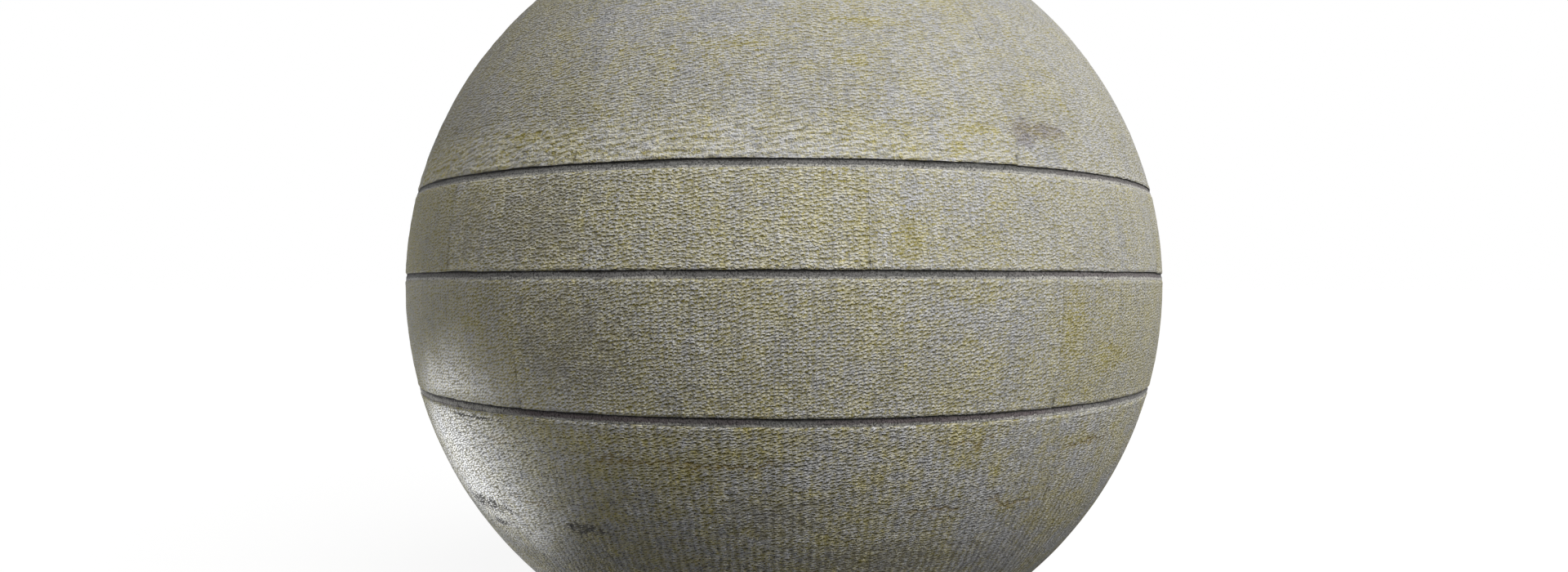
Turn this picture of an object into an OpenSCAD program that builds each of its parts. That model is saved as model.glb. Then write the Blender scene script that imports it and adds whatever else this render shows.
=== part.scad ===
// Medicine ball with a panelled cover: four courses of tooled rubber panels, three sunk seam strips,
// a hollow moulded carcass in two halves, a winding, an air bladder and a valve with a pull-out plug.
// Millimetres, +Z up, origin at the centre of the ball. The front of the ball faces -Y, and a
// longitude is counted from the front towards +X.

/* [Ball] */
// Outside diameter of the ball
ball_d = 280; // [220:1:360]
// Thickness of the cover panels
cover_t = 4; // [3:0.1:8]
// Space that the glue takes up between two layers
glue_gap = 0.2; // [0.1:0.05:0.4]

/* [Seams] */
// Height of the upper seam above the centre
upper_seam_z = 31.8; // [20:0.1:50]
// Height of the middle seam above the centre
middle_seam_z = 3; // [-10:0.1:12]
// Height of the lower seam above the centre
lower_seam_z = -35.4; // [-60:0.1:-20]
// Width of a seam between two courses
seam_w = 2.3; // [1.5:0.1:6]
// How far a seam strip lies below the face of the cover
seam_depth = 0.7; // [0.2:0.1:2]
// Gap along each edge of a seam strip
strip_gap = 0.1; // [0.05:0.05:0.4]

/* [Cover panels] */
// Gap in the butt joint between two panels of one course
butt_gap = 0.25; // [0.1:0.05:1]
// Number of panels in the crown course
crown_panels = 7; // [5:1:9]
// Longitude of the joint at the left of the crown's front panel
crown_joint_angle = -24.6; // [-60:0.1:60]
// Angle that the crown's front panel takes up
crown_front_angle = 52.6; // [30:0.1:80]
// Number of panels in the upper band
upper_panels = 7; // [5:1:9]
// Longitude of the joint at the left of the upper band's front panel
upper_joint_angle = -45.3; // [-60:0.1:60]
// Angle that the upper band's front panel takes up
upper_front_angle = 54.3; // [30:0.1:80]
// Number of panels in the lower band
lower_panels = 5; // [4:1:9]
// Longitude of the joint at the left of the lower band's front panel
lower_joint_angle = -32.7; // [-60:0.1:60]
// Angle that the lower band's front panel takes up
lower_front_angle = 66.3; // [30:0.1:80]
// Number of panels in the base course
base_panels = 5; // [4:1:9]
// Longitude of the joint at the left of the base's front panel
base_joint_angle = -29.8; // [-60:0.1:60]
// Angle that the base's front panel takes up
base_front_angle = 67.3; // [30:0.1:80]

/* [Pole caps] */
// Diameter of the round cap that closes the crown course
crown_cap_d = 56; // [36:1:90]
// Diameter of the round cap that closes the base course
base_cap_d = 56; // [24:1:90]

/* [Carcass and lining] */
// Wall of the moulded carcass, which sets the ball's weight
carcass_t = 14; // [10:0.5:24]
// Width of the tongue where the two carcass halves meet
tongue_w = 4; // [2:0.5:6]
// Height of the tongue
tongue_h = 5; // [2:0.5:10]
// Thickness of the nylon winding round the bladder
winding_t = 1.2; // [0.6:0.1:3]
// Wall of the air bladder
bladder_t = 2; // [1:0.1:4]

/* [Valve] */
// Outside diameter of the valve stem
stem_d = 17.4; // [14:0.1:24]
// Bore of the valve stem
bore_d = 8; // [5:0.1:10]
// Gap between the valve and the hole in each layer
valve_gap = 0.3; // [0.2:0.05:0.8]
// Diameter of the flange inside the bladder
flange_d = 44; // [32:1:70]
// Thickness of the flange
flange_t = 3; // [2:0.1:6]
// Diameter of the plug's head
plug_head_d = 17.4; // [14:0.1:24]
// Thickness of the plug's head
plug_head_t = 3; // [2:0.1:5]
// Length of the plug's shank
plug_shank_l = 15; // [9:0.5:20]
// Length of the tapered tip of the shank
plug_tip_l = 3; // [1:0.1:5]
// How much the tip narrows on each side
plug_tip_taper = 1.1; // [0.3:0.1:1.5]
// Number of grooves round the shank
plug_grooves = 3; // [1:1:4]
// Width of a groove
plug_groove_w = 1.2; // [0.5:0.1:1.4]
// Depth of a groove
plug_groove_depth = 0.5; // [0.2:0.1:0.8]
// Gap between the shank and the bore
plug_fit = 0.15; // [0.1:0.05:0.3]
// Gap between the plug's head and the end of the stem
seat_gap = 0.2; // [0.1:0.05:0.5]
// Radius of the two fingernail notches under the head's rim
pry_notch_r = 2; // [1:0.1:3]
// Height of the fingernail notches
pry_notch_h = 1.4; // [0.5:0.1:1.8]

/* [Hidden] */
$fn = 180;

// Radii of the layers, from the outside in
ball_r = ball_d / 2;
cover_in_r = ball_r - cover_t;
carcass_r = cover_in_r - glue_gap;
carcass_in_r = carcass_r - carcass_t;
winding_r = carcass_in_r - glue_gap;
winding_in_r = winding_r - winding_t;
bladder_r = winding_in_r - glue_gap;
bladder_in_r = bladder_r - bladder_t;
flange_r = bladder_in_r - glue_gap;
strip_r = ball_r - seam_depth;
tongue_r = carcass_r - carcass_t / 2;

// Valve heights and radii
seat_z = ball_r - plug_head_t;
shank_r = bore_d / 2 - plug_fit;
groove_pitch = (plug_shank_l - plug_tip_l) / (plug_grooves + 1);

// Longer than any piece, for cutters that pass right through
beyond = ball_d;

// Colours
crown_colour = [0.64, 0.62, 0.56];
upper_colour = [0.60, 0.58, 0.51];
lower_colour = [0.52, 0.51, 0.46];
base_colour = [0.45, 0.44, 0.40];
strip_colour = [0.34, 0.32, 0.32];
carcass_colour = [0.18, 0.18, 0.18];
winding_colour = [0.85, 0.83, 0.78];
bladder_colour = [0.10, 0.10, 0.11];
valve_colour = [0.24, 0.23, 0.22];

// Longitude of joint i of a course: the front panel has its own angle, the others share the rest
function joint_at(i, first, front, count) =
    i == 0 ? first : first + front + (i - 1) * (360 - front) / (count - 1);

// Point in plan at a longitude and a distance from the axis
function plan_point(longitude, distance) = [distance * sin(longitude), -distance * cos(longitude)];

// Spherical layer between two radii
module shell(outer_r, inner_r) {
    difference() {
        sphere(r = outer_r);
        sphere(r = inner_r);
    }
}

// Round slab that keeps what lies between two heights
module slab(low, high) {
    translate([0, 0, low]) cylinder(r = beyond, h = high - low);
}

// Prism over one panel's sector. Its point is moved out, so that neighbours keep one parallel gap
module sector(from, to) {
    half = (to - from) / 2;
    apex = plan_point(from + half, butt_gap / 2 / sin(half));
    linear_extrude(height = 2 * beyond, center = true)
        polygon([
            apex,
            apex + plan_point(from, beyond),
            apex + plan_point(from + half, beyond),
            apex + plan_point(to, beyond)
        ]);
}

// Panel i of a course between two heights
module cover_panel(i, first, front, count, low, high) {
    intersection() {
        shell(ball_r, cover_in_r);
        slab(low, high);
        sector(joint_at(i - 1, first, front, count), joint_at(i, first, front, count));
    }
}

// Round hole up the axis, from the centre outwards
module axis_hole(radius) {
    cylinder(r = radius, h = beyond);
}

// Hole for the valve: as wide as the stem needs up to the stem's end, and as the plug's head needs above it
module valve_hole() {
    axis_hole(stem_d / 2 + valve_gap);
    translate([0, 0, seat_z - seat_gap]) axis_hole(plug_head_d / 2 + valve_gap);
}

module crown_panel(i) {
    color(crown_colour) difference() {
        cover_panel(i, crown_joint_angle, crown_front_angle, crown_panels,
            upper_seam_z + seam_w / 2, ball_r + 1);
        axis_hole(crown_cap_d / 2 + butt_gap);
    }
}

module upper_band_panel(i) {
    color(upper_colour)
        cover_panel(i, upper_joint_angle, upper_front_angle, upper_panels,
            middle_seam_z + seam_w / 2, upper_seam_z - seam_w / 2);
}

module lower_band_panel(i) {
    color(lower_colour)
        cover_panel(i, lower_joint_angle, lower_front_angle, lower_panels,
            lower_seam_z + seam_w / 2, middle_seam_z - seam_w / 2);
}

module base_panel(i) {
    color(base_colour) difference() {
        cover_panel(i, base_joint_angle, base_front_angle, base_panels,
            -ball_r - 1, lower_seam_z - seam_w / 2);
        mirror([0, 0, 1]) axis_hole(base_cap_d / 2 + butt_gap);
    }
}

module crown_cap() {
    color(crown_colour) difference() {
        intersection() {
            shell(ball_r, cover_in_r);
            axis_hole(crown_cap_d / 2);
        }
        valve_hole();
    }
}

module base_cap() {
    color(base_colour) intersection() {
        shell(ball_r, cover_in_r);
        mirror([0, 0, 1]) axis_hole(base_cap_d / 2);
    }
}

// Ring glued to the carcass between two courses, a little below the face of the cover
module seam_strip(height) {
    reach = seam_w / 2 - strip_gap;
    color(strip_colour) intersection() {
        shell(strip_r, cover_in_r);
        slab(height - reach, height + reach);
    }
}

// Ring shared by the tongue and its groove, from a height down
module tongue_ring(width, top, bottom) {
    translate([0, 0, bottom]) difference() {
        cylinder(r = tongue_r + width / 2, h = top - bottom);
        translate([0, 0, -1]) cylinder(r = tongue_r - width / 2, h = top - bottom + 2);
    }
}

module upper_carcass() {
    color(carcass_colour) difference() {
        union() {
            intersection() {
                shell(carcass_r, carcass_in_r);
                slab(glue_gap / 2, beyond);
            }
            tongue_ring(tongue_w, tongue_h / 2, -tongue_h);
        }
        valve_hole();
    }
}

module lower_carcass() {
    color(carcass_colour) difference() {
        intersection() {
            shell(carcass_r, carcass_in_r);
            slab(-beyond, -glue_gap / 2);
        }
        tongue_ring(tongue_w + 2 * glue_gap, 1, -tongue_h - glue_gap);
    }
}

module nylon_winding() {
    color(winding_colour) difference() {
        shell(winding_r, winding_in_r);
        valve_hole();
    }
}

module bladder() {
    color(bladder_colour) difference() {
        shell(bladder_r, bladder_in_r);
        valve_hole();
    }
}

// Stem through every layer, with a curved flange that seats against the inside of the bladder
module valve_housing() {
    stem_low = flange_r - flange_t / 2;
    color(valve_colour) difference() {
        union() {
            intersection() {
                shell(flange_r, flange_r - flange_t);
                axis_hole(flange_d / 2);
            }
            translate([0, 0, stem_low]) cylinder(d = stem_d, h = seat_z - seat_gap - stem_low);
        }
        axis_hole(bore_d / 2);
    }
}

// Ring cut out of the shank
module shank_groove(height) {
    translate([0, 0, height - plug_groove_w / 2]) difference() {
        cylinder(r = shank_r + 1, h = plug_groove_w);
        translate([0, 0, -1]) cylinder(r = shank_r - plug_groove_depth, h = plug_groove_w + 2);
    }
}

// Plug with a domed head flush with the ball, a grooved shank and a tapered tip
module valve_plug() {
    tip_z = seat_z - plug_shank_l;
    color(valve_colour) difference() {
        union() {
            intersection() {
                sphere(r = ball_r);
                translate([0, 0, seat_z]) cylinder(d = plug_head_d, h = plug_head_t + 1);
            }
            translate([0, 0, tip_z + plug_tip_l]) cylinder(r = shank_r, h = plug_shank_l - plug_tip_l + 0.5);
            translate([0, 0, tip_z]) cylinder(r1 = shank_r - plug_tip_taper, r2 = shank_r, h = plug_tip_l);
        }
        for (i = [1 : plug_grooves]) shank_groove(seat_z - i * groove_pitch);
        for (side = [-1, 1])
            translate([side * plug_head_d / 2, 0, seat_z - 1]) cylinder(r = pry_notch_r, h = pry_notch_h + 1);
    }
}

for (i = [1 : crown_panels]) crown_panel(i);
for (i = [1 : upper_panels]) upper_band_panel(i);
for (i = [1 : lower_panels]) lower_band_panel(i);
for (i = [1 : base_panels]) base_panel(i);
crown_cap();
base_cap();
seam_strip(upper_seam_z);  // upper_seam_strip
seam_strip(middle_seam_z);  // middle_seam_strip
seam_strip(lower_seam_z);  // lower_seam_strip
upper_carcass();
lower_carcass();
nylon_winding();
bladder();
valve_housing();
valve_plug();
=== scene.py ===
# %% [markdown]
# A medicine ball is a heavy ball for exercise and physiotherapy. This one wears a cover that looks like
# dressed stone: four courses of panels with rows of tool marks, divided by three sunk seams. The CAD
# model already holds every piece at its real size. This lesson dresses it: the panels get their lumps and
# worn edges as real shape, and every surface gets a finish of shader nodes, which holds the tool marks.

import math
from dataclasses import dataclass
from types import SimpleNamespace

import bpy
import numpy as np
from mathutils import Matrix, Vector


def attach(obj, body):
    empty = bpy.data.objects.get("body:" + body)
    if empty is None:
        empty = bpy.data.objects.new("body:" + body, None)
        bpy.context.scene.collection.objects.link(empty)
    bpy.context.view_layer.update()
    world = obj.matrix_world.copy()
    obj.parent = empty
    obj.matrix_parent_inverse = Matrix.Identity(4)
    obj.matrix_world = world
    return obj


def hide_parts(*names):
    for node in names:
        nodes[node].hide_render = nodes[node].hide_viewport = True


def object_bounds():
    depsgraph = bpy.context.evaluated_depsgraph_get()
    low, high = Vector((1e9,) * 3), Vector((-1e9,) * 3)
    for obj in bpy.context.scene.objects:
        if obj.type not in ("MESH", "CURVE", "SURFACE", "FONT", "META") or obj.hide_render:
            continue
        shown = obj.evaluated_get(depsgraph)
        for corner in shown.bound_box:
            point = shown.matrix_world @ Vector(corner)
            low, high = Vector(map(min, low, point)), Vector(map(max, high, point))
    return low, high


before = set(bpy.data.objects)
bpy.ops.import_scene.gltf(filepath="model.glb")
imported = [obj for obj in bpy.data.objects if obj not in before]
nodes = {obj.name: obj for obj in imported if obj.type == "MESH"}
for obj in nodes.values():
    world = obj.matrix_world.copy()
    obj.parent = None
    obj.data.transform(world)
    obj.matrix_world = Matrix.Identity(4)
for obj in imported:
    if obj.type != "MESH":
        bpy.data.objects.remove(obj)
cad_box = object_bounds()

MM = 0.001
DEGREES = 180 / math.pi
ball_r = (cad_box[1].z - cad_box[0].z) / 2 / MM
print(f"the ball is {2 * ball_r:.1f} mm across and has {len(nodes)} CAD nodes")

# %% [markdown]
# The camera comes first, because everything that shows is compared through it. It stands level with
# the middle of the ball, so near that the ball fills more than the height of the picture. Its distance
# follows from how far round the ball the picture sees, and its lens from how large the ball then looks.

# %% Camera
CAMERA_DISTANCE = 2.744  # in ball radii, from the centre
LENS_MM = 22.23
SENSOR_MM = 36.0
NEAREST = 0.01  # metres in front of the camera

camera = bpy.data.objects.new("camera", bpy.data.cameras.new("camera"))
camera.data.sensor_width = SENSOR_MM
camera.data.lens = LENS_MM
camera.data.clip_start = NEAREST
camera.location = (0, -CAMERA_DISTANCE * ball_r * MM, 0)
camera.rotation_euler = (math.radians(90), 0, 0)
bpy.context.scene.collection.objects.link(camera)
bpy.context.scene.camera = camera
print(f"camera {CAMERA_DISTANCE * ball_r:.0f} mm in front of the ball's centre")

# %% [markdown]
# A panel of the cover is a piece of a ball between two seams and two upright butt joints. Its outline
# is read from its CAD node, so that the dressed panel lies exactly where the CAD panel is. Longitude is
# counted from the front of the ball towards the right, latitude from its middle upwards.

# %% Read a panel's outline from its CAD node
FACE_SKIN = 0.05  # millimetres: points this near the largest radius lie on a piece's face


def points_of(node):
    """The points of a CAD node, in millimetres."""
    mesh = nodes[node].data
    flat = np.empty(3 * len(mesh.vertices), np.float32)
    mesh.vertices.foreach_get("co", flat)
    return flat.reshape(-1, 3).astype(float) / MM


def outline_of(node):
    """Longitudes of the left and right side, then latitudes of the lower and upper edge, in radians."""
    points = points_of(node)
    radius = np.linalg.norm(points, axis=1)
    face = points[radius > radius.max() - FACE_SKIN]
    latitude = np.arcsin(face[:, 2] / np.linalg.norm(face, axis=1))
    longitude = np.arctan2(face[:, 0], -face[:, 1])
    middle = math.atan2(np.sin(longitude).mean(), np.cos(longitude).mean())
    turn = np.angle(np.exp(1j * (longitude - middle)))
    return middle + turn.min(), middle + turn.max(), latitude.min(), latitude.max()


cover_in_r = np.linalg.norm(points_of("middle_seam_strip"), axis=1).min()
print(f"the cover is {ball_r - cover_in_r:.1f} mm thick")

# %% [markdown]
# A panel's face is a grid of points fine enough to carry its lumps, with a few rows and columns close
# together at its edges, where the arris is worn round. The back of the panel is hidden, so its grid is
# coarser: one back square for every group of face squares. The walls between face and back are flat
# polygons that take in a whole group of face points each, which keeps the piece closed.

# %% Grid of one panel
ROW_STEP = 0.65  # millimetres between the rows of points
COLUMN_STEP = 0.90  # millimetres between the columns
EDGE_STEPS = (0, 0.1, 0.24, 0.5)  # rows and columns this near an edge
HALF_HAIRLINE = 0.025  # half of a butt joint
GROUP = 8  # face squares along one back square


def spaced(length, step):
    """Distances from 0 to length: closer together at both ends, and in whole groups."""
    ends = np.array(EDGE_STEPS)
    count = math.ceil((length - 2 * ends[-1]) / step)
    count += -(count + 2 * (len(ends) - 1)) % GROUP
    middle = np.linspace(ends[-1], length - ends[-1], count + 1)
    return np.concatenate([ends[:-1], middle, length - ends[-2::-1]])


def panel_grid(left, right, low, high):
    """Longitude and latitude of every face point of a panel."""
    widest = ball_r * math.cos(0 if low < 0 < high else min(abs(low), abs(high)))
    along = spaced((right - left) * widest, COLUMN_STEP)
    along = along / along[-1]
    latitude = low + spaced((high - low) * ball_r, ROW_STEP) / ball_r
    inset = np.arcsin(HALF_HAIRLINE / (ball_r * np.cos(latitude)))
    longitude = (left + inset)[:, None] + along * (right - left - 2 * inset)[:, None]
    return longitude, np.repeat(latitude[:, None], len(along), axis=1)


def directions(longitude, latitude):
    """Unit vectors from the ball's centre."""
    flat = np.cos(latitude)
    return np.stack([np.sin(longitude) * flat, -np.cos(longitude) * flat, np.sin(latitude)], axis=-1)


print("rows and columns of the first crown panel:", panel_grid(*outline_of("crown_panel_1"))[0].shape)

# %% [markdown]
# The mesh itself goes in through Blender's bulk calls, because a panel has tens of thousands of points.
# Each piece brings a UV map for baking: the face fills nearly all of it, and the walls and the back
# share a thin strip at its top. A long ring is folded into shelves there, one above the other.

# %% Map of a piece
FACE_TOP = 0.94  # the face's share of the map's height
MAP_MARGIN = 0.004
SHELF_MARGIN = 0.06  # free share at the foot and the top of a shelf
WALL_FOOT, WALL_TOP = 0.958, 0.972  # the strip of the walls
WALL_MARGIN = 0.05  # free share at both ends of a wall
BACK_FOOT, BACK_HEIGHT = 0.984, 0.012  # the strip of the back


def map_of_face(rows, columns, shelves):
    """Map places of the face squares' corners, cut into shelves along the columns."""
    per_shelf = math.ceil(columns / shelves)
    row, column = np.divmod(np.arange(rows * columns), columns)
    shelf = column // per_shelf
    right = np.array([0, 1, 1, 0])
    up = np.array([0, 0, 1, 1])
    u = (column[:, None] + right - shelf[:, None] * per_shelf) / per_shelf
    v = (row[:, None] + up) / rows
    if shelves > 1:
        v = (shelf[:, None] + SHELF_MARGIN + (1 - 2 * SHELF_MARGIN) * v) / shelves
    return np.stack([MAP_MARGIN + u * (1 - 2 * MAP_MARGIN), v * FACE_TOP], axis=-1).reshape(-1, 2)


def map_of_piece(outer, inner, walls, shelves):
    """Map places of all corners of a piece: of its face, its walls and its back."""
    face_map = map_of_face(outer.shape[0] - 1, outer.shape[1] - 1, shelves)
    on_face = np.linspace(WALL_MARGIN, 1 - WALL_MARGIN, GROUP + 1)
    along_wall = np.concatenate([on_face, on_face[[-1, 0]]])
    wall_u = (np.arange(len(walls))[:, None] + along_wall).ravel() / len(walls)
    wall_v = np.tile(np.where(np.arange(walls.shape[1]) > GROUP, WALL_TOP, WALL_FOOT), len(walls))
    back_map = map_of_face(inner.shape[0] - 1, inner.shape[1] - 1, 1) * (1, BACK_HEIGHT / FACE_TOP)
    back_map = back_map.reshape(-1, 4, 2)[:, ::-1].reshape(-1, 2) + (0, BACK_FOOT)
    return np.concatenate([face_map, np.stack([wall_u, wall_v], axis=-1), back_map])


print(f"the face takes {FACE_TOP:.0%} of the height of a piece's map")


# %% Build a closed piece from a grid of face points
def wall_polygons(outer, inner):
    """Walls along the lower, upper, left and right edge of a panel, or the first two of a ring."""
    edges = [(outer[0, ::-1], inner[0, ::-1]), (outer[-1], inner[-1])]
    if outer.shape[1] == (inner.shape[1] - 1) * GROUP + 1 and outer[0, 0] != outer[0, -1]:
        edges += [(outer[:, 0], inner[:, 0]), (outer[::-1, -1], inner[::-1, -1])]
    walls = []
    for face, back in edges:
        for k in range(len(back) - 1):
            walls.append(np.concatenate([face[k * GROUP:(k + 1) * GROUP + 1], back[[k + 1, k]]]))
    return np.array(walls)


def squares(grid):
    """The four corners of each square of a grid of point numbers, anticlockwise from outside."""
    corners = [grid[:-1, :-1], grid[:-1, 1:], grid[1:, 1:], grid[1:, :-1]]
    return np.stack(corners, axis=-1).reshape(-1, 4)


def closed_piece(name, way, height, inner_r, material, ring=False, shelves=1, **paint):
    """A closed mesh with its face at ball_r + height along each direction, and its back at inner_r."""
    rows, columns = height.shape
    face_points = (way * (ball_r + height)[..., None]).reshape(-1, 3)
    back_way = way[::GROUP, ::GROUP]
    back_points = (back_way * inner_r).reshape(-1, 3)
    outer = np.arange(rows * columns).reshape(rows, columns)
    inner = rows * columns + np.arange(len(back_points)).reshape(back_way.shape[:2])
    if ring:
        outer = np.concatenate([outer, outer[:, :1]], axis=1)
        inner = np.concatenate([inner, inner[:, :1]], axis=1)
    face, back = squares(outer), squares(inner)[:, ::-1]
    walls = wall_polygons(outer, inner)
    loops = np.concatenate([face.ravel(), walls.ravel(), back.ravel()])
    counts = [len(face), len(walls), len(back)]
    sizes = np.repeat([4, walls.shape[1], 4], counts)

    mesh = bpy.data.meshes.new(name)
    mesh.vertices.add(len(face_points) + len(back_points))
    mesh.vertices.foreach_set("co", (np.concatenate([face_points, back_points]) * MM).ravel())
    mesh.loops.add(len(loops))
    mesh.loops.foreach_set("vertex_index", loops)
    mesh.polygons.add(len(sizes))
    mesh.polygons.foreach_set("loop_start", np.concatenate([[0], np.cumsum(sizes)[:-1]]))
    mesh.polygons.foreach_set("use_smooth", np.repeat([True, False, True], counts))
    mesh.update(calc_edges=True)
    places = map_of_piece(outer, inner, walls, shelves)
    mesh.uv_layers.new(name="OFBake").data.foreach_set("uv", places.ravel())
    for key, values in paint.items():
        spread = np.concatenate([np.broadcast_to(values, height.shape).ravel(), np.zeros(len(back_points))])
        mesh.attributes.new(key, "FLOAT", "POINT").data.foreach_set("value", spread)
    mesh.materials.append(material)
    piece = bpy.data.objects.new(name, mesh)
    bpy.context.scene.collection.objects.link(piece)
    return piece


# %% [markdown]
# A worn cover is even only from far off: no lump, chip or broken edge is quite like the next. Smooth
# random fields give that. The one here is gradient noise: a random slope at each whole number, blended in
# between. It is worked out from a formula, so every run gives the same ball.

# %% Smooth random field
SCATTER = (127.1, 311.7, 74.7)  # turn a column, a row and a seed into one number without a pattern
SCATTER_GAIN = 43758.5453  # large, because only the digits after the point are used
NOISE_GAIN = 1.5  # brings the noise to about -1 to 1


def noise(x, y, seed, turns=None):
    """Gradient noise, one bump per unit. With turns, x repeats after that many units."""
    cell_x, cell_y = np.floor(x), np.floor(y)
    in_x, in_y = x - cell_x, y - cell_y

    def corner(right, up):
        column = cell_x + right if turns is None else (cell_x + right) % turns
        mixed = column * SCATTER[0] + (cell_y + up) * SCATTER[1] + seed * SCATTER[2]
        scattered = np.sin(mixed) * SCATTER_GAIN
        angle = (scattered - np.floor(scattered)) * 2 * math.pi
        return np.cos(angle) * (in_x - right) + np.sin(angle) * (in_y - up)

    ease_x = in_x ** 3 * (in_x * (in_x * 6 - 15) + 10)
    ease_y = in_y ** 3 * (in_y * (in_y * 6 - 15) + 10)
    low = corner(0, 0) + ease_x * (corner(1, 0) - corner(0, 0))
    high = corner(0, 1) + ease_x * (corner(1, 1) - corner(0, 1))
    return NOISE_GAIN * (low + ease_y * (high - low))


def bumps(s, t, size, seed):
    """Noise with bumps of this width and height in millimetres."""
    return noise(s / size[0], t / size[1], seed)


def steps(x, low, high):
    """0 below low, 1 above high, and a smooth rise between them."""
    share = np.clip((x - low) / (high - low), 0, 1)
    return share * share * (3 - 2 * share)


print("noise at three places:", noise(np.array([0.3, 1.7, 9.2]), np.array([0.8, 2.1, 4.4]), 1).round(3))

# %% [markdown]
# The cover's relief has two scales. The larger one, lumps of a few millimetres, belongs in the mesh. Along
# the seams the arris is worn round, and here and there a chip has come off it. The lower edge of a panel,
# where the tool broke out, isn't quite straight, so the shadow under it is thicker in some places than in
# others. Along the butt joints the arris is hardly worn, so these stay hairlines. The tool strokes
# themselves are less than a millimetre high, so they come later, from the finish. For them the mesh keeps
# where each point lies on its panel, how near it is to an edge, and what tone and character its panel has.

# %% Shape of a panel's face
SEAM_ARRIS = (0.28, 0.40)  # depth and width of the worn arris at a seam
BUTT_ARRIS = (0.03, 0.25)  # and at a butt joint
CHIP_DEPTH, CHIP_SIZE = 0.60, (3.4, 3.4)
CHIP_START = 0.30  # how strong the noise is where a chip begins
CHIP_REACH = 0.9  # how far from a seam chips come off
UNEVEN, UNEVEN_SIZE = 0.14, (28, 17)  # slow unevenness of the whole face
LUMPS, BROAD_LUMP, SMALL_LUMP = 0.22, (6.5, 4.2), (2.6, 1.9)  # height and two sizes of the lumps
SMOOTH_RIM = 1.2  # nearer a seam than this the face is smooth
BOULDER, BOULDER_SWELL = (5.5, 3.6), 0.55  # large lumps at the foot of the crown
BOULDER_FADE = (9, 26)  # heights above the foot between which they fade
BROKEN_OUT, BROKEN_REACH = 0.40, 1.5  # how far the lower edge is broken back, and how far up that is felt
LONG_BREAK, SHORT_BREAK = 15, 3.5  # lengths of its waves


def lumps(s, t, seed, strength=1.0):
    """Height between -1 and 0, and -0.5 on the whole."""
    both = 0.35 * bumps(s, t, BROAD_LUMP, seed + 5) + 0.30 * bumps(s, t, SMALL_LUMP, seed + 6)
    return np.clip(-0.5 + strength * both, -1, 0)


def unevenness(s, t, seed):
    """How far the whole face lies back, up to UNEVEN."""
    return UNEVEN * (0.5 + 0.5 * bumps(s, t, UNEVEN_SIZE, seed + 8))


def worn_arris(distance, arris):
    """How much is worn off at this distance from an edge."""
    depth, width = arris
    return depth * np.exp(-(distance / width) ** 2)


def face_height(s, t, from_foot, from_seam, from_butt, calm, seed, lumpy_foot):
    """Height of each face point against the ball's radius."""
    chips = np.clip(bumps(s, t, CHIP_SIZE, seed + 7) - CHIP_START, 0, 1)
    worn = worn_arris(from_seam, SEAM_ARRIS) + worn_arris(from_butt, BUTT_ARRIS)
    worn += worn_arris(from_seam, (CHIP_DEPTH, CHIP_REACH)) * chips
    inside = 1 - np.exp(-(from_seam / SMOOTH_RIM) ** 2)
    height = inside * (LUMPS * lumps(s, t, seed, 1 - 0.9 * calm) - unevenness(s, t, seed)) - worn
    if lumpy_foot:
        swell = BOULDER_SWELL * (1 - 2 * calm)
        boulders = np.clip(-0.5 + swell * bumps(s, t, BOULDER, seed + 9), -1, 0)
        above = steps(from_foot, *BOULDER_FADE)
        height += inside * lumpy_foot * ((boulders + 0.2) * (1 - above) - 0.3 * above)
    return height


def broken_edge(longitude, latitude, seed):
    """Latitude of each face point, where the lower edge is broken back unevenly."""
    s = longitude * ball_r
    row = np.full_like(s, 0.5)
    from_foot = (latitude - latitude.min()) * ball_r
    back = 0.05 + 0.75 * noise(s / LONG_BREAK, row, seed + 11) + 0.30 * noise(s / SHORT_BREAK, row, seed + 12)
    return latitude + BROKEN_OUT * np.clip(back, 0, 1) * np.exp(-from_foot / BROKEN_REACH) / ball_r


print(f"lumps up to {LUMPS} mm high, chips up to {CHIP_DEPTH} mm deep")

# %% What a panel's mesh keeps for its finish
ACROSS_START = 900  # keeps the distance across a panel above zero
EDGE_FELT, JOINT_FELT = 1.3, 0.4  # how far from a seam or a butt joint the finish still feels it
OWN_TONE, TONE_SPREAD, TONE_SEED = 0.5, 1.37, 91  # chance tone of each panel
POLE_FADE = (42, 66)  # latitudes between which the panels of a course come to one tone


@dataclass(frozen=True)
class Character:
    """How one panel differs from its course: 0 is like the rest."""

    calm: float = 0.0  # how far its tool marks are worn away
    calm_right: float = 0.0  # how much further at its right side
    yellow: float = 0.0  # how much ochre dirt it holds
    pale: float = 0.0  # how much paler it is
    pale_left: float = 0.0  # how much more so at its left side


def dressed(longitude, latitude, character, seed, lumpy_foot=0.0):
    """Height of each face point of a panel, and what the finish reads there."""
    s = (longitude - longitude.mean()) * ball_r * np.cos(latitude)
    t = latitude * ball_r
    from_foot, from_head = t - t.min(), t.max() - t
    from_seam = np.minimum(from_foot, from_head)
    from_butt = np.minimum(s - s[:, :1], s[:, -1:] - s)
    height = face_height(s, t, from_foot, from_seam, from_butt, character.calm, seed, lumpy_foot)
    along = (longitude - longitude.min()) / np.ptp(longitude)
    own_tone = noise(np.array([seed * TONE_SPREAD]), np.array([0.5]), TONE_SEED)[0]
    # This tone holds painted shade on the front's left and painted light at the lower left, besides the
    # panel's chance tone.
    tone = character.pale + character.pale_left * (1 - along)
    tone = tone * (1 - steps(np.abs(latitude) * DEGREES, *POLE_FADE))
    paint = {
        "across": longitude * ball_r * math.cos(latitude.mean()) + ACROSS_START,
        "up": t,
        "above_foot": from_foot,
        "edge": np.exp(-from_seam / EDGE_FELT),
        "joint": np.exp(-from_butt / JOINT_FELT),
        "calm": character.calm + character.calm_right * along ** 2,
        "yellow": character.yellow,
        "tone": tone + OWN_TONE * own_tone,
    }
    return height, paint


print(f"the finish feels a seam up to about {3 * EDGE_FELT:.0f} mm away")

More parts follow.
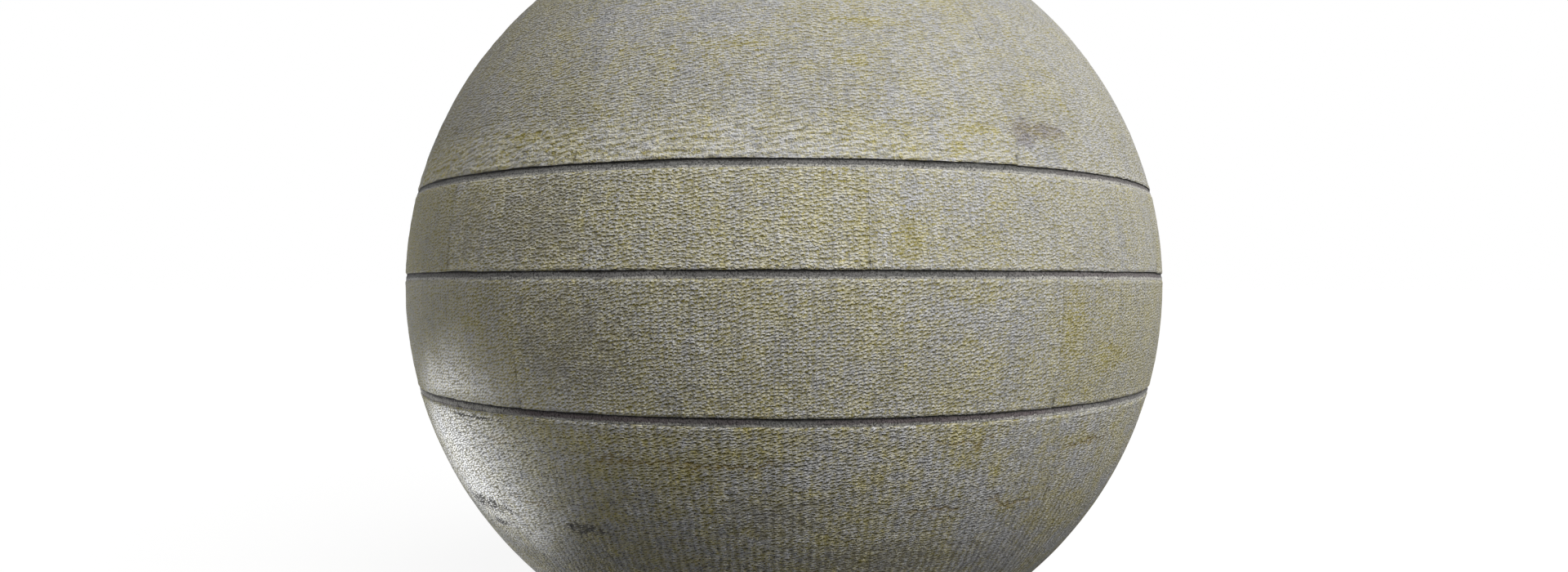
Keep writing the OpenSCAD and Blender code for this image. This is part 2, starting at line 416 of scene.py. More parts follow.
# %% [markdown]
# Finishes are networks of shader nodes. Drawn by hand they are hard to read, so here they are sums: one
# small class wraps a node's output, and adding, multiplying or subtracting such outputs adds the Math
# nodes. Any other node comes from one method, which takes its type, its settings and its sockets.


# %% Shader maths as sums
class Wire:
    """The output of a shader node, for use in sums."""

    def __init__(self, finish, socket):
        self.finish = finish
        self.socket = socket

    def __add__(self, other):
        return self.finish.math("ADD", self, other)

    def __sub__(self, other):
        return self.finish.math("SUBTRACT", self, other)

    def __rsub__(self, other):
        return self.finish.math("SUBTRACT", other, self)

    def __mul__(self, other):
        return self.finish.math("MULTIPLY", self, other)

    def __truediv__(self, other):
        return self.finish.math("DIVIDE", self, other)

    def __pow__(self, other):
        return self.finish.math("POWER", self, other)

    def __neg__(self):
        return self.finish.math("MULTIPLY", self, -1.0)

    __radd__ = __add__
    __rmul__ = __mul__


# %% Finish: the nodes of one material
class Finish:
    """The shader nodes of a material, or of the world."""

    def __init__(self, owner):
        owner.use_nodes = True
        self.owner = owner
        self.tree = owner.node_tree
        self.tree.nodes.clear()

    def node(self, kind, settings=None, sockets=None, output=0):
        """Adds a node, sets it up, fills its sockets with values or wires, and gives one output."""
        made = self.tree.nodes.new(kind)
        for key, value in (settings or {}).items():
            setattr(made, key, value)
        for key, value in (sockets or {}).items():
            if isinstance(value, Wire):
                self.tree.links.new(value.socket, made.inputs[key])
            else:
                made.inputs[key].default_value = value
        return Wire(self, made.outputs[output]) if made.outputs else None

    def math(self, operation, *values):
        """A Math node with these values or wires."""
        return self.node("ShaderNodeMath", {"operation": operation}, dict(enumerate(values)))

    def ease(self, value, low, high):
        """0 where value is at low, 1 at high, and a smooth change between them."""
        sockets = {"Value": value, "From Min": low, "From Max": high}
        return self.node("ShaderNodeMapRange", {"interpolation_type": "SMOOTHSTEP"}, sockets)

    def blend(self, first, second, share, how="MIX"):
        """A colour between two colours."""
        settings = {"data_type": "RGBA", "blend_type": how}
        return self.node("ShaderNodeMix", settings, {0: share, 6: first, 7: second}, output=2)

    def scaled(self, vector, by):
        """A colour or place times a number, or times one number for each axis."""
        if isinstance(by, tuple):
            return self.node("ShaderNodeVectorMath", {"operation": "MULTIPLY"}, {0: vector, 1: by})
        return self.node("ShaderNodeVectorMath", {"operation": "SCALE"}, {0: vector, "Scale": by})

    def place(self):
        """Where a point lies on the piece, in millimetres."""
        metres = self.node("ShaderNodeTexCoord", output="Object")
        return self.scaled(metres, 1 / MM)

    def split(self, vector):
        """The three numbers of a place."""
        return [self.node("ShaderNodeSeparateXYZ", sockets={0: vector}, output=axis) for axis in range(3)]

    def painted(self, key):
        """A number that the mesh keeps at each point."""
        settings = {"attribute_type": "GEOMETRY", "attribute_name": key}
        return self.node("ShaderNodeAttribute", settings, output="Fac")

    def cloud(self, place, size, detail=2.0, roughness=0.5):
        """Cloudy noise from 0 to 1, with blots of about this size in millimetres."""
        sockets = {"Vector": place, "Scale": 1 / size, "Detail": detail, "Roughness": roughness}
        return self.node("ShaderNodeTexNoise", sockets=sockets)

    def bump(self, height, millimetres):
        """A normal that is tilted as by a relief, where a height of 1 stands for this many millimetres."""
        return self.node("ShaderNodeBump", sockets={"Height": height, "Distance": millimetres * MM})

    def surface(self, **sockets):
        """Ends the material with one Principled shader."""
        named = {key.replace("_", " "): value for key, value in sockets.items()}
        named = {"Specular IOR Level" if key == "Specular" else key: value for key, value in named.items()}
        shader = self.node("ShaderNodeBsdfPrincipled", sockets=named)
        self.node("ShaderNodeOutputMaterial", sockets={"Surface": shader})
        return self.owner


def new_finish(name):
    """An empty finish with a material of its own."""
    return Finish(bpy.data.materials.new(name))


# %% [markdown]
# The four courses are tooled alike but not the same. A stroke of the chisel leaves a short arched ledge:
# steep and shaded below, then sloping gently back up to the foot of the next one. The strokes stand in
# rows that climb a little to the right, and in faint upright lanes, because the tool worked its way down.
# The sizes were measured on the photograph.


# %% How each course is tooled
@dataclass(frozen=True)
class Tooling:
    """How one course is dressed. Lengths are in millimetres."""

    pitch: float  # from one row of strokes to the next
    stroke: float  # width of a stroke
    scatter: float  # how far the strokes leave their rows, 0 to 1
    rise: float  # climb of the rows towards the right
    lean: float  # climb of each stroke by itself
    lane: float  # from one upright lane to the next
    upright: float  # how strongly the lanes show, 0 to 1
    depth: float  # height of a ledge
    warm: float  # how much ochre there is on the whole
    dirty: float  # how much more of it under the ledges
    patchy: float  # how uneven it is
    shade: float  # how pale the course is
    line_shade: float  # how much painted shade darkens the lines under the ledges, 0 to 1
    coarse_foot: float = 0.0  # share of strokes twice as large just above the lower edge


COURSES = {
    "crown_panel": Tooling(
        pitch=0.90, stroke=1.15, scatter=0.78, rise=0.03, lean=0.18, lane=1.65, upright=0.3, depth=0.22,
        warm=0.28, dirty=0.46, patchy=1.0, shade=1.02, line_shade=0.05, coarse_foot=0.9,
    ),
    "upper_band_panel": Tooling(
        pitch=0.90, stroke=1.25, scatter=0.78, rise=0.04, lean=0.10, lane=1.80, upright=0.5, depth=0.33,
        warm=0.37, dirty=0.76, patchy=0.9, shade=1.08, line_shade=0.12,
    ),
    "lower_band_panel": Tooling(
        pitch=0.92, stroke=1.20, scatter=0.66, rise=0.04, lean=0.38, lane=1.77, upright=0.6, depth=0.36,
        warm=0.34, dirty=0.80, patchy=1.0, shade=1.03, line_shade=0.22,
    ),
    "base_panel": Tooling(
        pitch=0.80, stroke=0.95, scatter=0.82, rise=0.03, lean=0.45, lane=2.00, upright=1.0, depth=0.46,
        warm=0.35, dirty=0.74, patchy=2.2, shade=1.03, line_shade=0.52,
    ),
}
for prefix, marks in COURSES.items():
    print(f"{prefix}: {10 / marks.pitch:.1f} rows of strokes to the centimetre")

# %% [markdown]
# Everything on the cover follows from a few fields: where a point lies on the ball, what the mesh keeps
# there, and noises from slow changes of tone down to sand grain. They are made once for each course and
# then only mixed, so that colour, shine and relief fit together. The plain numbers in the sums that follow
# are the shares in which they are mixed. They were tuned by comparing renders with the photograph.

# %% Fields of the cover's finish
CLOUDS = {  # size in millimetres, detail and roughness of each noise
    "slow": (62, 3.0, 0.5),
    "blots": (24, 4.0, 0.6),
    "patches": (6, 3.0, 0.6),
    "specks": (2.2, 3.0, 0.65),
    "flecks": (0.9, 2.0, 0.65),
    "grain": (0.5, 2.0, 0.65),
}
STREAK_WIDTH = 3.4
STREAK_SQUASH = (1, 1, 0.10)  # makes water streaks ten times as tall as wide
PAINTED = ("across", "up", "above_foot", "edge", "joint", "calm", "yellow", "tone")


def cover_fields(cover, marks, low, high):
    """The fields of a course that reaches from one latitude to another, each by its name."""
    at = SimpleNamespace(low=low, high=high, place=cover.place())
    x, y, z = cover.split(at.place)
    at.longitude = cover.math("ARCTAN2", x, -y) * DEGREES
    at.latitude = cover.math("ARCSINE", z / ball_r) * DEGREES
    for key in PAINTED:
        setattr(at, key, cover.painted(key))
    for key, cloud in CLOUDS.items():
        setattr(at, key, cover.cloud(at.place, *cloud) - 0.5)
    at.streaks = cover.cloud(cover.scaled(at.place, STREAK_SQUASH), STREAK_WIDTH) - 0.5
    swaying = at.across + at.patches * 2.0
    at.lanes = cover.math("SINE", swaying * (2 * math.pi / marks.lane)) * marks.upright
    at.fray = at.specks * 5.0 + at.patches * 3.0
    return at


print(len(CLOUDS), "noises, from", CLOUDS["slow"][0], "down to", CLOUDS["grain"][0], "mm")

# %% [markdown]
# Each stroke is a cell of a Voronoi pattern that is stretched to a stroke's width and height, so that no
# two are the same. Its middle tells how far a point lies to the side of the stroke and above it, and two
# smooth steps make the ledge of that. A drawn picture of the strokes would repeat, and would blur nearby.

# %% Tool strokes
WANDER_SIZE, DRIFT_SIZE = 3.0, 16  # of the noises that move strokes off their rows and bend the rows
WANDER, DRIFT = 1.2, 3.0  # by how many rows
ARCH, RAGGED = 0.5, 0.60  # how far a stroke is arched, and how ragged it is
LEDGE_FOOT, LEDGE_CREST, LEDGE_END = -0.56, -0.12, 0.42  # in rows, from the middle of the stroke
LINE_TOP, LINE_DARKEST = -0.08, -0.40
COARSE = 2.0  # how many times larger the strokes above the crown's foot are
COARSE_FADE = (17, 6)  # heights above the foot between which they begin


def strokes(finish, at, marks, size):
    """Ledges from 0 to about 1 and the lines under them, for strokes this many times the usual size."""
    wander = finish.cloud(at.place, WANDER_SIZE * size, 3.0, 0.6) - 0.5
    drift = finish.cloud(at.place, DRIFT_SIZE) - 0.5
    along = at.across / (marks.stroke * size) + wander
    rows = (at.up - at.across * marks.rise) / (marks.pitch * size) + drift * DRIFT / size + wander * WANDER
    spot = finish.node("ShaderNodeCombineXYZ", sockets={0: along, 1: rows})
    cells = {"Vector": spot, "Scale": 1.0, "Randomness": marks.scatter}
    settings = {"voronoi_dimensions": "2D"}
    middle = finish.node("ShaderNodeTexVoronoi", settings, cells, output="Position")
    hue = finish.node("ShaderNodeTexVoronoi", settings, cells, output="Color")
    offset = finish.node("ShaderNodeVectorMath", {"operation": "SUBTRACT"}, {0: spot, 1: middle})
    dx, dy, _ = finish.split(offset)
    chance, _, _ = finish.split(hue)
    ragged = at.grain + at.flecks * 0.6
    in_stroke = dy + dx * dx * ARCH - dx * marks.lean + ragged * RAGGED
    rise = finish.ease(in_stroke, LEDGE_FOOT, LEDGE_CREST)
    fall = finish.ease(in_stroke, LEDGE_CREST, LEDGE_END)
    within = finish.math("MAXIMUM", 1 - dx * dx * (1.2 + at.calm * 2.0), 0.0)
    line = finish.ease(in_stroke, LINE_TOP, LINE_DARKEST) * (0.4 + within * 0.6)
    return rise * (1 - fall * 0.9) * (0.50 + chance * 0.80) * within, line


def cut_strokes(cover, at, marks):
    """Adds the ledges, the lines under them, how far they are worn, and their pale tops."""
    at.ledge, at.line = strokes(cover, at, marks, 1.0)
    at.foot = 0.0
    if marks.coarse_foot:
        near_foot = cover.ease(at.above_foot + at.blots * 14, *COARSE_FADE)
        at.foot = near_foot * marks.coarse_foot * (1 - at.calm * 2)
        coarse, coarse_line = strokes(cover, at, marks, COARSE)
        at.ledge = at.ledge * (1 - at.foot * 0.7) + coarse * at.foot * 1.3
        at.line = at.line * (1 - at.foot * 0.6) + coarse_line * at.foot * 0.7
    at.ledge = at.ledge * (1 + at.lanes * 0.25)
    at.worn = at.ledge * (1 - at.calm * 0.55) + at.calm * 0.30
    at.line = at.line * (1 - at.calm * 0.4) * (1 - at.edge * 0.6)
    at.top = cover.ease(at.worn + at.specks * 0.4, 0.12, 0.60)


print(f"a ledge rises over {LEDGE_CREST - LEDGE_FOOT:.2f} rows and falls over {LEDGE_END - LEDGE_CREST:.2f}")

# %% [markdown]
# A few stains and cracks have a place of their own on the front, which comes from the photograph. Each is
# given as longitude, latitude and half sizes in degrees, and the noises fray its edge. Ochre is dirt that
# has run down, soot lies in the hollows, and lilac is where there is less ochre. At the lower left the
# cover has been rubbed until it shines.

# %% Stains and cracks on the front
OCHRE_STAINS = [
    (8.5, 25.7, 3.0, 0.8),
    (12, 31.6, 6.0, 0.7),
    (-6, 28, 5.0, 1.2),
    (23.5, 17.7, 2.6, 0.7),
    (20, 15, 1.2, 1.2),
    (-33, 17.3, 3.5, 0.8),
    (13.5, 4.8, 2.2, 2.6),
    (36, -5, 2.6, 5.5),
    (45, -8.5, 4.0, 2.0),
    (-40, -4.3, 3.0, 1.0),
    (-23, -17.4, 9.0, 1.5),
    (-22, -21, 5.0, 1.5),
    (-14, -20.5, 7.0, 2.5),
    (-4, -18.4, 7.0, 1.0),
    (41, -18.5, 4.0, 0.8),
    (-3, -28.3, 4.0, 1.0),
    (22, -27.4, 2.5, 0.8),
    (46, -31.4, 3.5, 0.8),
]
CRACKS = [
    (-18, -19.5, 6.0),
    (-6, -19.6, 6.5),
    (21.5, -17.2, 4.5),
    (43.5, -19.2, 6.0),
    (19, -26.5, 5.0),
    (31, -26.0, 5.0),
    (-36, -26.6, 5.0),
    (-38, -18.0, 4.5),
]
SOOT_STAINS = [
    (-50, -29.2, 8.0, 1.3),
    (-28, -29.8, 4.0, 1.0),
    (-49, -32.2, 3.0, 0.7),
    (-43, -16.0, 7.0, 0.28),
]
ROSE_STAINS = [(33, 18.2, 6.0, 1.3), (30, 17.8, 2.4, 2.0)]
GRIME_STAINS = [
    (-40.5, 7.5, 4.5, 5.0),
    (-29, 7, 8.0, 6.0),
    (-25, -6, 8.0, 6.0),
    (-1, -26, 6.0, 3.0),
    (14, -33, 10.0, 3.0),
]
LILAC_STAINS = [
    (32, 16, 4.0, 2.0),
    (15, 19.5, 6.0, 3.0),
    (-45, 25, 5.0, 3.0),
    (18, 9.5, 7.0, 3.0),
    (22, -3, 8.0, 3.0),
    (5, -20.5, 12.0, 3.0),
    (-16, 32, 16.0, 6.0),
]
POLISHED = (-43, -20.5, 21.5, 16.5)
STAIN_RIM = 1.2  # in half sizes squared, where a stain ends
CRACK_RIM, CRACK_CORE = 0.42, 0.05  # half widths of a crack's edge and of its middle, in degrees
CRACK_TAPER = (1.0, 0.7)  # in half lengths, where a crack ends and where it begins to fade
print(len(OCHRE_STAINS), "ochre stains,", len(SOOT_STAINS), "of soot, and", len(CRACKS), "cracks")


# %% Masks of the stains and cracks
def stain(finish, at, spot, fray):
    """1 in the middle of a stain and 0 outside it, with a frayed edge."""
    right, up, half_w, half_h = spot
    reach = ((at.longitude - right) / half_w) ** 2 + ((at.latitude - up) / half_h) ** 2
    return finish.ease(reach + fray, STAIN_RIM, 0.0)


def crack(finish, at, spot, wave):
    """1 along a crack and 0 beside it."""
    right, up, half_w = spot
    beside = finish.math("ABSOLUTE", at.latitude - up + wave)
    along = finish.math("ABSOLUTE", at.longitude - right) / half_w
    return finish.ease(beside, CRACK_RIM, CRACK_CORE) * finish.ease(along, *CRACK_TAPER)


def together(finish, at, spots, shape, ragged):
    """The strongest of the stains or cracks that lie on this course, or 0 without any."""
    masks = [shape(finish, at, spot, ragged) for spot in spots if at.low < spot[1] < at.high]
    strongest = masks[0] if masks else 0.0
    for mask in masks[1:]:
        strongest = finish.math("MAXIMUM", strongest, mask)
    return strongest


# %% Weather on the cover, and painted shade at the lower left
LOW_LEFT_TOP = (-14, -17)  # latitudes between which the shaded lower left begins
LOW_LEFT_BACK = (-110, -70)  # longitudes between which it begins
LOW_LEFT_SLOPE, LOW_LEFT_END = 0.68, (-24, -42)  # its slanting right edge, where the key light stops reaching


def weather_and_shade(cover, at):
    """Adds soot and cracks, and at the lower left, where the key light doesn't reach, dark pits painted as
    shade.
    """
    hollows = cover.ease(at.worn + at.flecks * 2, 1.15, 0.50)
    at.soot = together(cover, at, SOOT_STAINS, stain, at.fray * 0.55) * hollows
    wave = at.blots * 3.0 + at.patches * 3.6 + at.specks * 1.6
    at.cracks = together(cover, at, CRACKS, crack, wave)
    low_left = cover.ease(at.latitude, *LOW_LEFT_TOP) * cover.ease(at.longitude, *LOW_LEFT_BACK)
    at.low_left = low_left * cover.ease(at.latitude + at.longitude * LOW_LEFT_SLOPE, *LOW_LEFT_END)
    # Dark pits painted as shade in the lower left, which the key light doesn't reach.
    at.pitted = at.low_left * cover.ease(at.specks * 0.4 + at.flecks + at.grain * 0.7, -0.02, -0.22)


# %% [markdown]
# The cover's colour follows the strokes. At each point two numbers decide it: how pale the point is, and
# how warm. Ledges are worn pale and cool. The lines under them are warm with ochre dirt, and painted darker
# as the shade under the ledges, more so towards the bottom. Over that lie slow changes of tone, water
# streaks, flecks and sand grain, then the stains. One colour ramp could not do it, because a pale point may
# be cool or warm.

# %% Colour of the cover
COOL = (1.00, 1.00, 1.02, 1)
WARM = (1.00, 0.865, 0.25, 1)
CREST, SLOPE, VALLEY = 0.60, 0.46, 0.36  # how pale, as a share of white
SOOT = (0.018, 0.017, 0.016, 1)
ROSE = (0.56, 0.50, 0.51, 1)
GRIME = (0.270, 0.252, 0.195, 1)
CRACK_DIRT = (0.240, 0.170, 0.030, 1)
LOW_DOWN = (-18, -38)  # latitudes between which the base grows darker and more speckled
TICK_TOP, TICK_FOOT = (3.6, 2.2), (0.6, 1.4)  # heights above the foot of the dark ticks at the butt joints


def paleness(cover, at, marks):
    """How pale each point is, as a share of white."""
    low_down = cover.ease(at.latitude, *LOW_DOWN)
    speckled = (at.specks * 0.55 + at.grain * 0.60) * (1 + low_down) + at.lanes * (0.06 + low_down * 0.12)
    pale = SLOPE + (CREST - SLOPE) * at.top
    # The lines under the ledges hold ochre dirt and painted shade for the shadow under each ledge, stronger
    # towards the bottom.
    pale = pale * (1 - at.line * (1 - VALLEY / SLOPE * (1 - marks.line_shade)))
    pale = pale * (1 + at.slow * 0.30 + at.streaks * 0.40 + speckled - at.line * low_down * 0.25)
    pale = pale * (1 + at.foot * 0.23 + at.edge * 0.10) * (1 - low_down * 0.16)
    pale = pale * (1 + at.tone * 0.12) * marks.shade
    # At the lower left, where the key light doesn't reach, the cover is painted a little paler as light and
    # darker in its pits as shade.
    return pale * (1 - at.pitted * 0.50) * (1 + at.low_left * 0.08)


def warmth(cover, at, marks):
    """How much ochre lies at each point."""
    uneven = (at.blots * 1.3 + at.patches * 1.2) * marks.patchy
    warm = marks.warm + at.yellow * 0.10 - at.top * 0.20 - at.lanes * 0.08
    warm = warm + at.line * (marks.dirty + at.foot * 0.15) + at.foot * 0.10
    warm = warm + together(cover, at, OCHRE_STAINS, stain, at.fray) * (0.25 + at.line * 0.75)
    warm = warm + uneven * (0.35 + at.line * 0.65) + at.streaks * 0.35
    warm = warm + (at.flecks + at.grain) * (1.2 + at.line * 1.2)
    return warm - together(cover, at, LILAC_STAINS, stain, at.fray) * 0.17


def cover_colour(cover, at, marks):
    """The colour of the bare cover, and over it cracks, stains, grime and soot."""
    colour = cover.scaled(cover.blend(COOL, WARM, warmth(cover, at, marks)), paleness(cover, at, marks))
    colour = cover.blend(colour, CRACK_DIRT, at.cracks * (0.52 + at.line * 0.48))
    rose = together(cover, at, ROSE_STAINS, stain, at.fray * 0.30)
    colour = cover.blend(colour, ROSE, rose * 0.65, "MULTIPLY")
    grime = together(cover, at, GRIME_STAINS, stain, at.fray)
    colour = cover.blend(colour, GRIME, at.joint * 0.10 + grime * 0.45)
    tick = at.joint * cover.ease(at.above_foot + at.specks * 2, *TICK_TOP)
    tick = tick * cover.ease(at.above_foot, *TICK_FOOT)
    return cover.blend(colour, SOOT, at.soot * 0.95 + tick * 0.8)


print(f"a ledge's crest is {CREST / VALLEY:.1f} times as pale as the line under it, before any grime")

# %% Finish of the cover
COVER_ROUGHNESS, COVER_SPECULAR = 0.86, 0.22
RUBBED_ROUGHNESS = 0.46  # of the shine where the cover is rubbed


def cover_relief(cover, at, marks, polished):
    """The strokes, lanes, specks and grain as a relief, in millimetres."""
    relief = at.ledge * (1 - at.calm * 0.7) * marks.depth + at.lanes * 0.035
    relief = relief + at.specks * 0.60 + at.grain * (0.52 + at.calm * 0.20)
    return relief * (1 - polished * 0.3) - at.cracks * 0.15


def cover_finish(name, marks, low, high):
    """The finish of a course that reaches from one latitude to another."""
    cover = new_finish(name)
    at = cover_fields(cover, marks, low, high)
    cut_strokes(cover, at, marks)
    weather_and_shade(cover, at)
    polished = stain(cover, at, POLISHED, at.blots * 0.8)
    rubbed = polished * (0.15 + cover.ease(at.worn, 0.10, 0.50) * 0.85) * (1 - at.soot) * (1 - at.edge)
    return cover.surface(
        Base_Color=cover_colour(cover, at, marks),
        Roughness=COVER_ROUGHNESS - at.worn * 0.14 - rubbed * 0.12,
        Coat_Weight=rubbed * (1 - at.pitted * 0.8),
        Coat_Roughness=RUBBED_ROUGHNESS,
        Specular=COVER_SPECULAR,
        Normal=cover.bump(cover_relief(cover, at, marks, polished), 1),
    )


covers = {}
for prefix, marks in COURSES.items():
    low, high = outline_of(prefix + "_1")[2:]
    covers[prefix] = cover_finish(prefix.replace("panel", "cover"), marks, low * DEGREES, high * DEGREES)
    print(prefix, "has a finish of", len(covers[prefix].node_tree.nodes), "nodes")

# %% [markdown]
# Now the panels. In the CAD model two neighbours stand a quarter of a millimetre apart, which would
# show as a heavy line. On the real cover they are pressed together, so each side is moved out to the
# middle of the joint, less a hairline. Panels that show, and their neighbours round the back, have a
# character of their own, and its tone fades from one to the next. Part of that tone is painted light:
# the panels on the front's left, away from the key light, are painted darker as shade, and the base's
# panels at the lower left are painted paler where the rubbed cover shines.

# %% Characters of the panels
# pale and pale_left are partly painted light: they darken the panels on the front's left as painted shade and
# lighten the lower left base as painted light.
CHARACTERS = {
    "crown_panel_1": Character(calm=0.05, calm_right=0.35, yellow=0.3, pale_left=-0.7),
    "crown_panel_2": Character(calm=0.45, yellow=-0.2, pale=-0.2),
    "crown_panel_3": Character(calm=0.40),
    "crown_panel_4": Character(calm=0.35, yellow=0.2),
    "crown_panel_5": Character(calm=0.35),
    "crown_panel_6": Character(calm=0.30, calm_right=-0.3, yellow=0.6, pale=-4.0, pale_left=4.0),
    "crown_panel_7": Character(calm=0.0, yellow=0.7, pale=-1.2, pale_left=-2.8),
    "upper_band_panel_1": Character(calm=-0.25, calm_right=0.7, yellow=0.3, pale=0.6, pale_left=-0.7),
    "upper_band_panel_2": Character(calm=0.70, calm_right=0.5, yellow=-0.4, pale=-0.3, pale_left=1.1),
    "upper_band_panel_3": Character(calm=0.60),
    "upper_band_panel_6": Character(calm=-0.10, yellow=0.8, pale=-1.9, pale_left=1.9),
    "upper_band_panel_7": Character(calm=-0.25, yellow=1.2, pale=-1.9),
    "lower_band_panel_1": Character(calm=-0.05, calm_right=0.9, yellow=0.3, pale=-0.2),
    "lower_band_panel_2": Character(calm=0.85, yellow=0.8),
    "lower_band_panel_4": Character(calm=0.30, pale=-0.9, pale_left=0.9),
    "lower_band_panel_5": Character(calm=0.30, yellow=0.6, pale=-0.9),
    "base_panel_1": Character(calm=-0.10, calm_right=1.2),
    "base_panel_2": Character(calm=0.75),
    "base_panel_4": Character(calm=0.40, pale=0.8, pale_left=-0.8),
    "base_panel_5": Character(calm=0.60, calm_right=-1.1, pale=0.8),
}
print(len(CHARACTERS), "panels have a character of their own")

# %% Dress the panels
LUMPY_FOOT = 0.4  # height of the boulders in a course with a coarse foot
FIRST_SEED, COURSE_SEEDS, PANEL_SEEDS = 3, 100, 10  # where seeds start, then from course to course and panel


def joint_half_angle(outlines):
    """Half of the gap between the first two panels of a course, as an angle."""
    gap = outlines[1][0] - outlines[0][1]
    return math.atan2(math.sin(gap), math.cos(gap)) / 2


def dress_course(prefix, material, first_seed):
    """Puts a dressed panel in the place of each CAD panel of a course."""
    names = [name for name in nodes if name.startswith(prefix)]
    names.sort(key=lambda name: int(name.split("_")[-1]))
    outlines = [outline_of(name) for name in names]
    reach = joint_half_angle(outlines)
    lumpy_foot = LUMPY_FOOT if COURSES[prefix].coarse_foot else 0.0
    count = 0
    for number, (name, (left, right, low, high)) in enumerate(zip(names, outlines)):
        seed = first_seed + PANEL_SEEDS * number
        longitude, latitude = panel_grid(left - reach, right + reach, low, high)
        character = CHARACTERS.get(name, Character())
        height, paint = dressed(longitude, latitude, character, seed, lumpy_foot)
        way = directions(longitude, broken_edge(longitude, latitude, seed))
        piece = closed_piece(name + "_tooled", way, height, cover_in_r, material, **paint)
        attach(piece, "ball")
        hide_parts(name)
        count += height.size
    print(f"{prefix}: {len(names)} panels with {count} face points")


for start, (prefix, material) in enumerate(covers.items()):
    dress_course(prefix, material, COURSE_SEEDS * start + FIRST_SEED)

# %% [markdown]
# The two caps close the crown and the base where the panels come together. The crown's cap is a ring
# round the valve, so its grid goes all the way round. The base's cap is a full disc. A square grid
# bent into a disc serves it better than a fan, because no point has dozens of thin triangles.

# %% A cap
FAR_UP = 99.0  # height above the foot, where no coarse foot or tick is felt
CAP_SHELVES = 4  # of the ring's map


def dress_cap(name, x, y, upward, from_rim, seed, material, ring):
    """A cap whose face points lie at x and y in plan, in millimetres."""
    height = LUMPS * lumps(x, y, seed) - worn_arris(from_rim, SEAM_ARRIS) - unevenness(x, y, seed)
    up = np.sqrt(ball_r ** 2 - x ** 2 - y ** 2) * upward
    way = np.stack([x, y, up], axis=-1) / ball_r
    edge = np.exp(-from_rim / EDGE_FELT)
    paint = {"across": x + ACROSS_START, "up": y, "above_foot": FAR_UP, "edge": edge}
    folds = {"ring": ring, "shelves": CAP_SHELVES if ring else 1}
    piece = closed_piece(name + "_tooled", way, height, cover_in_r, material, **folds, **paint)
    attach(piece, "ball")
    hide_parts(name)
    print(name, "has", height.size, "face points")


def plan_radii(name):
    """Inner and outer radius of a cap's face in plan."""
    points = points_of(name)
    face = points[np.linalg.norm(points, axis=1) > ball_r - FACE_SKIN]
    plan = np.hypot(face[:, 0], face[:, 1])
    return plan.min(), plan.max()


# %% Dress the caps
CROWN_CAP_SEED, BASE_CAP_SEED = 501, 601
DISC_STEP = 0.7  # millimetres between the points of the disc

hole_r, rim_r = plan_radii("crown_cap")
out_to_in = rim_r - spaced(rim_r - hole_r, ROW_STEP)
columns = GROUP * round(2 * math.pi * rim_r / COLUMN_STEP / GROUP)
turn = np.arange(columns) * 2 * math.pi / columns
cap_x = out_to_in[:, None] * np.sin(turn)
cap_y = -out_to_in[:, None] * np.cos(turn)
cap_rim = np.repeat(np.minimum(rim_r - out_to_in, out_to_in - hole_r)[:, None], columns, axis=1)
dress_cap("crown_cap", cap_x, cap_y, 1, cap_rim, CROWN_CAP_SEED, covers["crown_panel"], ring=True)

rim_r = plan_radii("base_cap")[1]
side = np.linspace(-1, 1, GROUP * round(2 * rim_r / DISC_STEP / GROUP) + 1)
across, down = np.meshgrid(side, side)
cap_x = rim_r * across * np.sqrt(1 - down ** 2 / 2)
cap_y = rim_r * down * np.sqrt(1 - across ** 2 / 2)
cap_rim = rim_r - np.hypot(cap_x, cap_y)
dress_cap("base_cap", cap_x, cap_y[::-1], -1, cap_rim, BASE_CAP_SEED, covers["base_panel"], ring=False)

# %% [markdown]
# A seam is filled like a struck mortar joint: the strip lies deep under the upper course, where it is
# always in shadow, and comes nearly flush at the lower one. It is gritty and dark, a little purple in
# places, and a dark band under the edge above it is painted shadow. Towards the right, where the key light
# reaches it, it is painted paler and with less of that shadow.

# %% Finish of the seam strips
STRIP = (0.185, 0.184, 0.178, 1)
STRIP_PURPLE = (0.150, 0.128, 0.132, 1)
STRIP_SHADOW = (0.045, 0.043, 0.041, 1)
STRIP_DUST = (0.60, 0.585, 0.545, 1)
SMEAR_SIZE, PURPLE_SIZE, GRIT_SIZE, STREAK_SIZE = 9, 40, 0.5, 0.75  # of the noises, in millimetres
GRIT_SQUASH = (1, 1, 0.45)  # makes the filling's streaks twice as tall as wide
LEFT_START, LEFT_BACK = (-31, -40), (-140, -90)  # longitudes between which the dusty left begins and ends
RIGHT_START, RIGHT_BACK = (15, 40), (140, 90)  # and the right: more purple, and painted paler with less shadow where the key light reaches it
STRIP_BUMP = 0.25  # millimetres


